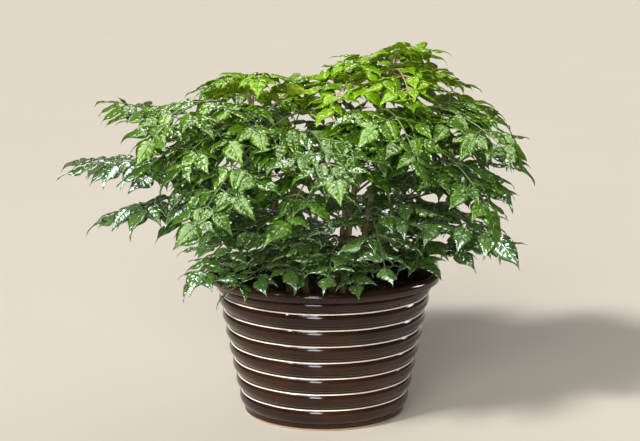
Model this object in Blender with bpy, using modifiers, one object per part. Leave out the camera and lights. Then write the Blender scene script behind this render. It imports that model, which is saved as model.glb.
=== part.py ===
"""Potted china doll plant: a ribbed glazed pot of soil with leaning stems that carry tiers of compound fronds.

Metres, +Z up. The origin is the centre of the pot's flat underside, +X is the photograph's right, and the
photograph looks along +Y. Every frond is one thin blade, cut flat to the outline of its leaflets and then arched.
"""

import math
import random

import bmesh
import bpy
from mathutils import Vector

OBJECT_NAME = "potted_china_doll_plant"
CLEARANCE = 0.0003

# Pot: a tapered body of bulged bands between creases, with a rolled lip over the uppermost band
POT_STEPS = 30
FOOT_RADIUS = 0.1035
FOOT_HEIGHT = 0.007
LOWEST_CREASE = 0.028
CREASE_SPACING = 0.02142
CREASES = 7
CREASE_DEPTH = 0.0035
BAND_RADIUS_AT_FOOT = 0.1075
BAND_TAPER = 0.197
BAND_SHOULDER = 0.27
LIP_RADIUS = 0.150
LIP_UNDERSIDE = 0.1735
POT_HEIGHT = 0.186
MOUTH_EDGE = 0.012
MOUTH_DROP = 0.004
LIP_SECTION = ((0.0085, 0.0), (0.0030, 0.0008), (0.0, 0.0055), (0.0012, 0.0105))
LIP_TUCK = 0.0015
FOOT_BEVEL = 0.0020
FOOT_BEVEL_HEIGHT = 0.0012
FLOOR_THICKNESS = 0.011
INNER_FOOT_RADIUS = 0.094
WELD = 0.00002

# Soil: a plug that fills the pot, with one blind hole for each stem
SOIL_TOP = 0.150
SOIL_CROWN = 0.004
LEAN_FROM = SOIL_TOP + SOIL_CROWN + 0.001
HOLE_DEPTH = 0.055
HOLE_SIDES = 12
DRILL_ABOVE = 0.020

# Stems: foot position, position of the top, height of the top
STEM_FOOT_RADIUS = 0.0050
STEM_TOP_RADIUS = 0.0026
STEM_SECTIONS = 5
STEM_CURVE = 1.2
STEM_RESOLUTION = 1
STEMS = {
    "stem_centre": ((0.010, 0.006), (0.088, 0.004), 0.450),
    "stem_right": ((0.042, 0.000), (0.078, -0.004), 0.372),
    "stem_back_right": ((0.020, 0.040), (0.040, 0.078), 0.376),
    "stem_back_left": ((-0.026, 0.036), (-0.052, 0.080), 0.374),
    "stem_left": ((-0.044, 0.000), (-0.096, 0.002), 0.412),
    "stem_front_left": ((-0.022, -0.036), (-0.050, -0.074), 0.366),
    "stem_front_right": ((0.024, -0.036), (0.044, -0.070), 0.362),
}

# Fronds, tier by tier from the rim up: height where they leave the stem, height that they arch towards, leaflet
# scale, colour, then the stem, the azimuth, the reach from the pot's axis and the tip's height of each frond.
# Every second frond of a tier sits higher by the stagger, so that neighbours pass over each other.
# The last ten tiers are single fronds that fill gaps, most of them in the front and the middle of the crown.
STAGGER = 0.020
TIERS = (
    (0.186, 0.236, 0.86, "leaf_old", (
        ("stem_left", 213, 0.206, 0.180),
        ("stem_front_left", 259, 0.158, 0.162),
        ("stem_front_right", 282, 0.188, 0.184),
        ("stem_right", 11, 0.256, 0.184),
        ("stem_back_right", 77, 0.290, 0.244),
        ("stem_back_left", 127, 0.238, 0.226),
    )),
    (0.226, 0.286, 1.00, "leaf_old", (
        ("stem_left", 163, 0.320, 0.224),
        ("stem_front_left", 238, 0.296, 0.192),
        ("stem_front_right", 270, 0.262, 0.206),
        ("stem_right", 325, 0.284, 0.216),
        ("stem_back_right", 34, 0.326, 0.258),
        ("stem_back_left", 112, 0.256, 0.280),
    )),
    (0.266, 0.338, 1.00, "leaf_old", (
        ("stem_left", 163, 0.368, 0.306),
        ("stem_front_left", 196, 0.338, 0.306),
        ("stem_front_right", 286, 0.268, 0.210),
        ("stem_right", 332, 0.262, 0.274),
        ("stem_back_right", 36, 0.278, 0.344),
        ("stem_back_left", 111, 0.318, 0.302),
    )),
    (0.308, 0.392, 0.96, "leaf_mid", (
        ("stem_left", 152, 0.358, 0.382),
        ("stem_front_left", 219, 0.296, 0.304),
        ("stem_front_right", 258, 0.266, 0.262),
        ("stem_right", 318, 0.282, 0.240),
        ("stem_back_right", 5, 0.248, 0.364),
        ("stem_back_left", 93, 0.260, 0.326),
    )),
    (0.350, 0.438, 0.80, "leaf_mid", (
        ("stem_front_left", 231, 0.290, 0.324),
        ("stem_front_right", 299, 0.236, 0.304),
        ("stem_right", 4, 0.242, 0.366),
        ("stem_back_right", 50, 0.242, 0.360),
        ("stem_back_left", 138, 0.244, 0.392),
        ("stem_left", 227, 0.308, 0.338),
    )),
    (0.390, 0.472, 0.66, "leaf_new", (
        ("stem_left", 156, 0.152, 0.372),
        ("stem_centre", 302, 0.198, 0.374),
        ("stem_left", 239, 0.148, 0.424),
        ("stem_centre", 27, 0.232, 0.318),
        ("stem_centre", 269, 0.136, 0.386),
        ("stem_centre", 66, 0.140, 0.394),
    )),
    (0.420, 0.480, 0.56, "leaf_new", (
        ("stem_centre", 122, 0.011, 0.422),
        ("stem_centre", 26, 0.152, 0.404),
        ("stem_centre", 315, 0.132, 0.474),
    )),
    (0.342, 0.442, 0.80, "leaf_mid", (
        ("stem_front_right", 294, 0.170, 0.330),
    )),
    (0.186, 0.226, 0.80, "leaf_old", (
        ("stem_right", 359, 0.252, 0.214),
    )),
    (0.330, 0.430, 0.80, "leaf_mid", (
        ("stem_back_right", 216, 0.052, 0.436),
    )),
    (0.360, 0.458, 0.70, "leaf_mid", (
        ("stem_back_right", 244, 0.342, 0.278),
    )),
    (0.320, 0.428, 0.86, "leaf_mid", (
        ("stem_back_left", 273, 0.320, 0.332),
    )),
    (0.370, 0.448, 0.70, "leaf_mid", (
        ("stem_centre", 324, 0.294, 0.330),
    )),
    (0.256, 0.328, 0.96, "leaf_old", (
        ("stem_front_right", 179, 0.308, 0.240),
    )),
    (0.226, 0.318, 0.96, "leaf_old", (
        ("stem_right", 34, 0.318, 0.326),
    )),
    (0.206, 0.258, 0.86, "leaf_old", (
        ("stem_right", 240, 0.250, 0.190),
    )),
    (0.370, 0.448, 0.70, "leaf_new", (
        ("stem_left", 72, 0.110, 0.414),
    )),
)

# A frond: lengths are for leaflet scale 1, and places on the rachis are measured back from its tip.
# A pinna is its rib's angle and length, and the lengths of its end leaflet and of its two side leaflets.
TIP_LEAFLET = 0.052
SINGLES_BACK = 0.069
UPPER_PINNAE_BACK = 0.121
LOWER_PINNAE_BACK = 0.189
LEAST_PETIOLE = 0.026
LEAST_SHRINK = 0.8
SEAT_GAP = 0.0008
LOWER_PINNA = (65, 0.046, 0.050, 0.040)
UPPER_PINNA = (62, 0.034, 0.044, 0.033)
SINGLE_LEAFLET = (62, 0.040)
SIDE_LEAFLET_BACK = 0.015
REAR_TURN = 72
FRONT_TURN = 68
FORK_NOTCH = 0.6
LEAFLET_WIDTH = 0.60
LEAFLET_OUTLINE = ((0.40, 0.50), (1.00, 0.03), (0.32, -0.50))
TIP_LEAFLET_OUTLINE = ((0.34, 0.50), (0.68, 0.31))
PETIOLE_HALF_WIDTH = 0.0020
RACHIS_HALF_WIDTH = 0.0013
RACHIS_HALF_THICKNESS = 0.0012
RIB_HALF_WIDTH = 0.0011
NECK = 0.0022
RIB_HALF_THICKNESS = 0.0006
BLADE_HALF_THICKNESS = 0.00045
PETIOLE_HALF_THICKNESS = 0.0018
ARCH_PLACE = 0.46
SIDE_SAG = 1.7
LEAFLET_SAG = 0.16
ANGLE_JITTER = 4
LENGTH_JITTER = 0.07
ARC_SAMPLES = 24
SEED = 11

COLOURS = {
    "glaze": ((0.030, 0.013, 0.009), 0.12),
    "soil": ((0.020, 0.014, 0.010), 0.95),
    "bark": ((0.190, 0.130, 0.060), 0.70),
    "leaf_old": ((0.020, 0.110, 0.020), 0.32),
    "leaf_mid": ((0.050, 0.200, 0.020), 0.34),
    "leaf_new": ((0.160, 0.380, 0.030), 0.38),
}


def clear_scene():
    for obj in list(bpy.data.objects):
        bpy.data.objects.remove(obj, do_unlink=True)


def make_material(name):
    colour, roughness = COLOURS[name]
    material = bpy.data.materials.new(name)
    material.use_nodes = True
    shader = material.node_tree.nodes["Principled BSDF"]
    shader.inputs["Base Color"].default_value = (*colour, 1.0)
    shader.inputs["Roughness"].default_value = roughness
    shader.inputs["Metallic"].default_value = 0.0
    return material


def add_mesh(name, bm, collection, material):
    mesh = bpy.data.meshes.new(name)
    bm.to_mesh(mesh)
    bm.free()
    obj = bpy.data.objects.new(name, mesh)
    obj.data.materials.append(material)
    collection.objects.link(obj)
    return obj


def add_turned(name, profile, collection, material):
    """A solid of revolution whose profile starts and ends on the axis and runs down its outer side."""
    bm = bmesh.new()
    points = [bm.verts.new((radius, 0.0, height)) for radius, height in profile]
    for first, second in zip(points, points[1:]):
        bm.edges.new((first, second))
    obj = add_mesh(name, bm, collection, material)
    turn = obj.modifiers.new("Turn", "SCREW")
    turn.steps = POT_STEPS
    turn.render_steps = POT_STEPS
    turn.use_merge_vertices = True
    turn.merge_threshold = WELD
    turn.use_smooth_shade = True
    return obj


def band_radius(height):
    return BAND_RADIUS_AT_FOOT + BAND_TAPER * (height - FOOT_HEIGHT)


def inner_radius(height):
    """The pot's inside wall, a plain cone under the lip."""
    share = (height - FLOOR_THICKNESS) / (POT_HEIGHT - FLOOR_THICKNESS)
    return INNER_FOOT_RADIUS + (LIP_RADIUS - MOUTH_EDGE - INNER_FOOT_RADIUS) * share


def pot_profile():
    """From the middle of the pot's inside floor, up the inside, over the lip, down the bands, to the underside."""
    mouth = POT_HEIGHT - MOUTH_DROP
    profile = [(0.0, FLOOR_THICKNESS), (INNER_FOOT_RADIUS, FLOOR_THICKNESS), (inner_radius(mouth), mouth)]
    profile += [(LIP_RADIUS - inwards, POT_HEIGHT - down) for inwards, down in LIP_SECTION]
    profile.append((band_radius(LIP_UNDERSIDE) - LIP_TUCK, LIP_UNDERSIDE))
    creases = [LOWEST_CREASE + CREASE_SPACING * step for step in range(CREASES)][::-1]
    above = LIP_UNDERSIDE
    for below in creases + [FOOT_HEIGHT]:
        height = above - below
        for share in (BAND_SHOULDER, 1 - BAND_SHOULDER):
            at = above - share * height
            profile.append((band_radius(at), at))
        if below > FOOT_HEIGHT:
            profile.append((band_radius(below) - CREASE_DEPTH, below))
        above = below
    profile.append((FOOT_RADIUS, FOOT_BEVEL_HEIGHT))
    profile.append((FOOT_RADIUS - FOOT_BEVEL, 0.0))
    profile.append((0.0, 0.0))
    return profile


def soil_profile():
    low = FLOOR_THICKNESS + CLEARANCE
    return [
        (0.0, SOIL_TOP + SOIL_CROWN),
        (inner_radius(SOIL_TOP) - 2 * CLEARANCE, SOIL_TOP),
        (inner_radius(low) - 2 * CLEARANCE, low),
        (0.0, low),
    ]


def stem_axis(name, height):
    """The stem's axis at a height: upright in the soil, then leaning out more and more."""
    foot, top, top_height = STEMS[name]
    rise = max(0.0, height - LEAN_FROM) / (top_height - LEAN_FROM)
    share = rise ** STEM_CURVE
    return Vector((foot[0] + (top[0] - foot[0]) * share, foot[1] + (top[1] - foot[1]) * share, height))


def stem_radius(name, height):
    rise = max(0.0, height - LEAN_FROM) / (STEMS[name][2] - LEAN_FROM)
    return STEM_FOOT_RADIUS + (STEM_TOP_RADIUS - STEM_FOOT_RADIUS) * rise


def add_stem(name, collection, material):
    top_height = STEMS[name][2]
    bottom = SOIL_TOP - HOLE_DEPTH + CLEARANCE
    heights = [bottom] + [
        LEAN_FROM + (top_height - LEAN_FROM) * step / STEM_SECTIONS for step in range(STEM_SECTIONS + 1)
    ]
    curve = bpy.data.curves.new(name, "CURVE")
    curve.dimensions = "3D"
    curve.bevel_depth = 1.0
    curve.bevel_resolution = STEM_RESOLUTION
    curve.use_fill_caps = True
    spline = curve.splines.new("POLY")
    spline.points.add(len(heights) - 1)
    for point, height in zip(spline.points, heights):
        point.co = (*stem_axis(name, height), 1.0)
        point.radius = stem_radius(name, height)
    obj = bpy.data.objects.new(name, curve)
    obj.data.materials.append(material)
    collection.objects.link(obj)
    return obj


def cut_stem_holes(soil, cutters):
    """One blind hole a little wider than each stem, drilled straight down from above the soil."""
    bm = bmesh.new()
    radius = STEM_FOOT_RADIUS + 2 * CLEARANCE
    depth = HOLE_DEPTH + DRILL_ABOVE
    for name in STEMS:
        foot = stem_axis(name, SOIL_TOP)
        added = bmesh.ops.create_cone(
            bm, cap_ends=True, segments=HOLE_SIDES, depth=depth, radius1=radius, radius2=radius
        )
        middle = SOIL_TOP - HOLE_DEPTH + depth / 2
        bmesh.ops.translate(bm, verts=added["verts"], vec=(foot.x, foot.y, middle))
    drill = add_mesh("stem_hole_drill", bm, cutters, soil.data.materials[0])
    drill.hide_render = True
    drill.display_type = "WIRE"
    cut = soil.modifiers.new("Stem holes", "BOOLEAN")
    cut.operation = "DIFFERENCE"
    cut.object = drill


class Frond:
    """One compound leaf: where it leaves its stem, how it arches, and the size of its leaflets."""

    def __init__(self, number, stem, azimuth, reach, tip_height, leave_height, arch_height, scale):
        self.name = f"frond_{number:02d}"
        self.scale = scale
        self.draw = random.Random(SEED * 1000 + number)
        axis = stem_axis(stem, leave_height)
        angle = math.radians(azimuth)
        tip = Vector((reach * math.cos(angle), reach * math.sin(angle), 0.0))
        way = Vector((tip.x - axis.x, tip.y - axis.y, 0.0))
        self.ahead = way.normalized()
        self.side = Vector((-self.ahead.y, self.ahead.x, 0.0))
        seat = stem_radius(stem, leave_height) + SEAT_GAP
        self.base = axis + self.ahead * seat
        run = way.length - seat
        self.knots = ((0.0, 0.0), (run * ARCH_PLACE, arch_height - leave_height), (run, tip_height - leave_height))
        self.stations = [0.0]
        previous = self.on_arch(0.0)[0]
        for sample in range(1, ARC_SAMPLES + 1):
            here = self.on_arch(sample / ARC_SAMPLES)[0]
            self.stations.append(self.stations[-1] + (Vector(here) - Vector(previous)).length)
            previous = here
        self.length = self.stations[-1]
        self.fit_leaflets()

    def fit_leaflets(self):
        """A frond too short for its leaflets gets slightly smaller ones, or else only its upper pinnae."""
        leafy = self.length - LEAST_PETIOLE
        self.has_lower_pinnae = leafy / LOWER_PINNAE_BACK >= LEAST_SHRINK * self.scale
        longest = LOWER_PINNAE_BACK if self.has_lower_pinnae else UPPER_PINNAE_BACK
        self.scale = min(self.scale, leafy / longest)

    def on_arch(self, share):
        """Run and rise of the arch at a share of its way, and its direction there."""
        (x0, z0), (x1, z1), (x2, z2) = self.knots
        back = 1 - share
        place = (
            back * back * x0 + 2 * back * share * x1 + share * share * x2,
            back * back * z0 + 2 * back * share * z1 + share * share * z2,
        )
        way = Vector((back * (x1 - x0) + share * (x2 - x1), back * (z1 - z0) + share * (z2 - z1)))
        return place, way.normalized()

    def share_at(self, distance):
        """The share of the arch's way at a distance along it."""
        for sample in range(ARC_SAMPLES):
            first, second = self.stations[sample], self.stations[sample + 1]
            if distance <= second or sample == ARC_SAMPLES - 1:
                return (sample + (distance - first) / (second - first)) / ARC_SAMPLES

    def arched(self, distance, aside, above):
        """A point of the flat frond, carried onto the arch: its sides sag away from the rachis."""
        if distance <= 0.0:
            return self.base + self.side * aside + Vector((0.0, 0.0, above))
        place, way = self.on_arch(self.share_at(distance))
        above -= SIDE_SAG * aside * aside / self.scale
        run = place[0] - way.y * above
        rise = place[1] + way.x * above
        return self.base + self.ahead * run + self.side * aside + Vector((0.0, 0.0, rise))

    def jittered(self, angle, length):
        angle += self.draw.uniform(-ANGLE_JITTER, ANGLE_JITTER)
        length *= self.scale * (1 + self.draw.uniform(-LENGTH_JITTER, LENGTH_JITTER))
        return math.radians(angle), length

    def leaflet(self, place, angle, length):
        """A leaflet's outline from its rear edge round its tip: distance, aside, sag, half thickness."""
        points = []
        for along, across in LEAFLET_OUTLINE:
            forward = along * length
            outward = across * length * LEAFLET_WIDTH
            points.append((
                place[0] + math.cos(angle) * forward - math.sin(angle) * outward,
                place[1] + math.sin(angle) * forward + math.cos(angle) * outward,
                LEAFLET_SAG * length * along * along,
                BLADE_HALF_THICKNESS,
            ))
        return points

    def rib_point(self, place, angle, forward, outward):
        return (
            place[0] + math.cos(angle) * forward - math.sin(angle) * outward,
            place[1] + math.sin(angle) * forward + math.cos(angle) * outward,
            0.0,
            RIB_HALF_THICKNESS,
        )

    def pinna(self, start, sizes):
        """A side rib with a leaflet at its end and one on each side before that, joined to the rachis at start."""
        angle, rib, end_length, side_length = sizes
        angle, rib = self.jittered(angle, rib)
        end = (start + math.cos(angle) * rib, math.sin(angle) * rib)
        back = SIDE_LEAFLET_BACK * self.scale
        fork = (end[0] - math.cos(angle) * back, end[1] - math.sin(angle) * back)
        points = [self.rachis_point(start - NECK)]
        points.append(self.rib_point(fork, angle, -NECK, RIB_HALF_WIDTH))
        points += self.leaflet(fork, angle + math.radians(REAR_TURN), side_length * self.scale)
        points.append(self.rib_point(fork, angle, FORK_NOTCH * back, RIB_HALF_WIDTH))
        points += self.leaflet(end, angle, end_length * self.scale)
        points.append(self.rib_point(fork, angle, FORK_NOTCH * back, -RIB_HALF_WIDTH))
        points += self.leaflet(fork, angle - math.radians(FRONT_TURN), side_length * self.scale)
        points.append(self.rib_point(fork, angle, -NECK, -RIB_HALF_WIDTH))
        points.append(self.rachis_point(start + NECK))
        return points

    def rachis_point(self, distance):
        return (distance, RACHIS_HALF_WIDTH, 0.0, RACHIS_HALF_THICKNESS)

    def half_outline(self):
        """One side of the flat frond, from the petiole's foot to the end leaflet's widest place."""
        end = self.length
        lower = end - LOWER_PINNAE_BACK * self.scale
        upper = end - UPPER_PINNAE_BACK * self.scale
        single = end - SINGLES_BACK * self.scale
        bare = lower if self.has_lower_pinnae else upper
        points = [(0.0, PETIOLE_HALF_WIDTH, 0.0, PETIOLE_HALF_THICKNESS)]
        points.append((bare / 2, PETIOLE_HALF_WIDTH, 0.0, PETIOLE_HALF_THICKNESS))
        if self.has_lower_pinnae:
            points += self.pinna(lower, LOWER_PINNA)
        points += self.pinna(upper, UPPER_PINNA)
        points.append(self.rachis_point(single - NECK))
        points += self.leaflet((single, 0.0), *self.jittered(*SINGLE_LEAFLET))
        points.append(self.rachis_point(single + NECK))
        size = TIP_LEAFLET * self.scale
        points.append(self.rachis_point(end - size))
        for along, across in TIP_LEAFLET_OUTLINE:
            sag = LEAFLET_SAG * size * along * along
            place = end - (1 - along) * size
            points.append((place, across * LEAFLET_WIDTH * size, sag, BLADE_HALF_THICKNESS))
        return points

    def outline(self):
        near = [(distance, -aside, sag, half) for distance, aside, sag, half in self.half_outline()]
        tip = (self.length, 0.0, LEAFLET_SAG * TIP_LEAFLET * self.scale, BLADE_HALF_THICKNESS)
        return near + [tip] + self.half_outline()[::-1]


def add_frond(frond, collection, material):
    """The flat outline, cut into triangles once, given its thickness and then arched, alike on both faces."""
    bm = bmesh.new()
    sag = bm.verts.layers.float.new("sag")
    half = bm.verts.layers.float.new("half")
    corners = []
    for distance, aside, drop, thickness in frond.outline():
        corner = bm.verts.new((distance, aside, 0.0))
        corner[sag] = drop
        corner[half] = thickness
        corners.append(corner)
    bm.faces.new(corners).normal_update()
    cut = bmesh.ops.triangulate(bm, faces=bm.faces[:], ngon_method="BEAUTY")
    raised = bmesh.ops.extrude_face_region(bm, geom=cut["faces"])
    upper = {item for item in raised["geom"] if isinstance(item, bmesh.types.BMVert)}
    for vert in bm.verts:
        above = vert[half] if vert in upper else -vert[half]
        vert.co = frond.arched(vert.co.x, vert.co.y, above - vert[sag])
    bmesh.ops.recalc_face_normals(bm, faces=bm.faces[:])
    if bm.calc_volume(signed=True) < 0:
        bmesh.ops.reverse_faces(bm, faces=bm.faces[:])
    return add_mesh(frond.name, bm, collection, material)


def new_collection(name):
    collection = bpy.data.collections.new(name)
    bpy.context.scene.collection.children.link(collection)
    return collection


def main():
    clear_scene()
    parts = new_collection(OBJECT_NAME)
    cutters = new_collection("cutters")
    materials = {name: make_material(name) for name in COLOURS}
    add_turned("pot", pot_profile(), parts, materials["glaze"])
    soil = add_turned("soil", soil_profile(), parts, materials["soil"])
    cut_stem_holes(soil, cutters)
    for name in STEMS:
        add_stem(name, parts, materials["bark"])
    number = 0
    for leave_height, arch_height, scale, colour, fronds in TIERS:
        for place, (stem, azimuth, reach, tip_height) in enumerate(fronds):
            number += 1
            lift = STAGGER * (place % 2)
            frond = Frond(
                number, stem, azimuth, reach, tip_height + lift, leave_height + lift, arch_height + lift, scale
            )
            add_frond(frond, parts, materials[colour])


main()
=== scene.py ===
"""Potted china doll plant, dressed: quilted leaflets with drip tips, a glazed pot, soil and light.

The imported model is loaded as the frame. Every frond and stem, the soil and the pot are replaced by finer
meshes that follow the same arches, axes and profile. Metres, +Z up, the photograph looks along +Y.
"""

import math
import random

import bmesh
import bpy
import numpy as np
from mathutils import Euler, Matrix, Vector, noise


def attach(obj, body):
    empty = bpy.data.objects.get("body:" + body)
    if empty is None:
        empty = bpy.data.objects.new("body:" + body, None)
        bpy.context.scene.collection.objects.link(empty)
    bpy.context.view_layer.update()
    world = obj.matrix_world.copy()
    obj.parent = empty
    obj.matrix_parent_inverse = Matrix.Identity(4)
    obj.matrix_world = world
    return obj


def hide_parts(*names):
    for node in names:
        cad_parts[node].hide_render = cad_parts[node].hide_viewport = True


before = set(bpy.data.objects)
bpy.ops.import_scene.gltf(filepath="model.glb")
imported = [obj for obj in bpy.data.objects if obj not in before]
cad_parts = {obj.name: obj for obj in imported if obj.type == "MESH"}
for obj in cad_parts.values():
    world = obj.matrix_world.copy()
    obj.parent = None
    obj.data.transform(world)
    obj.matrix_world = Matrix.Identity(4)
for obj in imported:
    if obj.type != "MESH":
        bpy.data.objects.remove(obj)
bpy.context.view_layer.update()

# The camera, fitted to the pot's rim, foot and bands in the photograph
CAMERA_PLACE = (0.0, -1.9418, 0.6113)
CAMERA_TURN = (90 - 10.61, 0.0, 0.156)
CAMERA_LENS = 86.85
SENSOR_WIDTH = 36.0
CAMERA_FAR = 300.0

# Suns: name, place, strength, spread in degrees, whether they show in reflections
SUNS = (
    ("sun", (-1.5, -1.5, 2.0), 3.3, 9.0, True),
    ("fill", (-0.5, -2.4, 0.95), 2.9, 45.0, False),
    ("back", (0.9, 2.0, 1.5), 0.8, 80.0, False),
)

# Panels that only show in reflections: name, place, size, power, the pieces that mirror them
GLINTS = (
    ("window", (-0.60, -3.2, 1.25), (0.8, 0.7), 36.0, "pot"),
    ("front", (-0.8, -2.0, 1.9), (1.1, 0.6), 34.0, "pot"),
    ("high_front", (-0.5, -1.2, 2.4), (2.4, 1.1), 90.0, "all"),
    ("overhead", (-0.4, 0.1, 2.3), (1.6, 1.2), 56.0, "all"),
    ("overhead_left", (-1.3, -0.7, 2.0), (0.8, 0.8), 24.0, "all"),
    ("overhead_right", (0.8, 0.3, 2.2), (0.8, 0.8), 22.0, "all"),
    ("sheen", (-0.5, 2.6, 2.0), (0.8, 0.4), 10.0, "all"),
    ("edge", (2.4, 0.8, 1.2), (0.4, 0.8), 22.0, "pot"),
    ("high_back", (-0.3, 1.5, 2.2), (0.45, 0.35), 14.0, "front leaves"),
    ("sky", (-0.5, -3.0, 1.9), (1.8, 1.9), 150.0, "front leaves"),
    ("sky_left", (-2.8, -1.7, 1.8), (1.3, 1.7), 86.0, "front leaves"),
    ("sky_right", (2.6, -1.8, 1.7), (1.3, 1.6), 76.0, "front leaves"),
)
GLINT_COLOUR = (0.95, 0.98, 1.0)
SUN_COLOUR = (1.0, 0.97, 0.92)

# What a panel can be limited to; front leaves are older fronds that head less than this towards the back
MIRRORS = ("pot", "front leaves")
FRONT_HEADING = 0.2

# Floor and surroundings
STAGE_MIDDLE = (0.0, 0.0, 0.25)
FLOOR_HALF_SIZE = 80.0
FLOOR_COLOUR = (0.68, 0.635, 0.565)
FLOOR_SHADE = 0.96
FLOOR_CLOUD = (1.3, 2.0)
FLOOR_ROUGHNESS = 0.9
FLOOR_GLOSS = 0.1
WORLD_COLOUR = (1.0, 0.98, 0.95)
WORLD_STRENGTH = 0.11

# Pot: a tapered body of bulged bands between creases, with a rolled lip over the uppermost band
POT_SEGMENTS = 192
FOOT_RADIUS = 0.1035
FOOT_HEIGHT = 0.007
FOOT_SECTION = ((0.0004, 0.0045), (0.0, 0.0016), (-0.0012, 0.0003), (-0.0030, 0.0), (-0.012, 0.0))
LOWEST_CREASE = 0.028
CREASE_SPACING = 0.02142
CREASES = 7
BAND_RADIUS_AT_FOOT = 0.1075
BAND_TAPER = 0.197
BAND_STEPS = 14
BAND_WIDEST = 0.47
BAND_TOP_DEPTH = 0.0038
BAND_BOTTOM_DEPTH = 0.0052
BAND_BOTTOM_POWER = 2.2
VALLEY_RISE = 0.0022
LIP_RADIUS = 0.150
LIP_UNDERSIDE = 0.1735
LIP_GAP = 0.0004
LIP_ROLL = (0.0056, 0.0066)
LIP_STEPS = 15
LIP_FROM = 172
LIP_STEP_TURN = 17.5
POT_HEIGHT = 0.186
MOUTH_EDGE = 0.012
FLOOR_THICKNESS = 0.011
FLOOR_FILLET = 0.004
INNER_FOOT_RADIUS = 0.094
INNER_HEIGHTS = (0.05, 0.09, 0.13, 0.15, 0.165, 0.172)

# Below, a noise is its scale and detail, a bump its strength and depth, roughness the least and the rise
# Glaze, the cream line under each crease, and the bare clay at the foot
GLAZE_CLOUD = (14.0, 4.0)
GLAZE_WAVES = (55.0, 2.0)
GLAZE_BUMP = (0.12, 0.0012)
GLAZE_GLOSS = 0.36
GLAZE_ROUGHNESS = (0.07, 0.10)
BARE_ROUGHNESS = 0.35
LINE_CLOUD = (22.0, 2.0)
LINE_HALF_WIDTH = 0.00064
LINE_EDGES = (0.55, 1.25)
LINE_DROP = 0.0003
LINE_WOBBLE = 0.0007
INSIDE_WALL = 0.0050
BARE_FOOT = (0.0022, 0.0034)
DARK_GLAZE = (0.014, 0.0052, 0.0034)
WARM_GLAZE = (0.031, 0.0112, 0.0056)
LINE_COLOUR = (0.84, 0.75, 0.62)
CLAY_COLOUR = (0.42, 0.30, 0.19)

# Soil: a plug with a rough top, and crumbs of it
SOIL_TOP = 0.150
SOIL_CROWN = 0.004
SOIL_RINGS = 56
SOIL_SEGMENTS = 128
SOIL_MIDDLE = 0.08
SOIL_GAP = 0.0006
CLEARANCE = 0.0003
SOIL_WAVES = ((55.0, 0.0030), (190.0, 0.0016))
SOIL_SINK = 0.0012
CRUMBS = 900
CRUMB_EDGE = 0.004
CRUMB_SIZES = (0.0008, 0.0026)
CRUMB_STRETCH = ((0.7, 1.7), (0.6, 1.1), (0.5, 0.9))
CRUMB_ROUGHNESS = (0.8, 1.2)
CRUMB_RISE = 0.2
GRIT_EVERY = 14
CRUMB_TURN = 6.28

# Stems: straight in the soil, leaning above it, with a swelling under each frond and a bud on top
LEAN_FROM = SOIL_TOP + SOIL_CROWN + 0.001
HOLE_DEPTH = 0.055
STEM_FOOT_RADIUS = 0.0050
STEM_TOP_RADIUS = 0.0026
STEM_CURVE = 1.2
STEM_RINGS = 90
STEM_SIDES = 16
STEM_SLIMMING = 0.93
STEM_AGE = 0.5
SCAR_SWELL = 0.0007
SCAR_DROP = 0.002
SCAR_REACH = 0.004
BARK_WAVES = (40, 60)
BARK_SHAKE = 0.0002
BUD_SECTION = ((0.002, 0.8), (0.0045, 0.45), (0.0065, 0.12))

# Each stem: place of its foot, place of its top, height of its top
STEMS = {
    "stem_centre": ((0.010, 0.006), (0.088, 0.004), 0.450),
    "stem_right": ((0.042, 0.000), (0.078, -0.004), 0.372),
    "stem_back_right": ((0.020, 0.040), (0.040, 0.078), 0.376),
    "stem_back_left": ((-0.026, 0.036), (-0.052, 0.080), 0.374),
    "stem_left": ((-0.044, 0.000), (-0.096, 0.002), 0.412),
    "stem_front_left": ((-0.022, -0.036), (-0.050, -0.074), 0.366),
    "stem_front_right": ((0.024, -0.036), (0.044, -0.070), 0.362),
}

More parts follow.
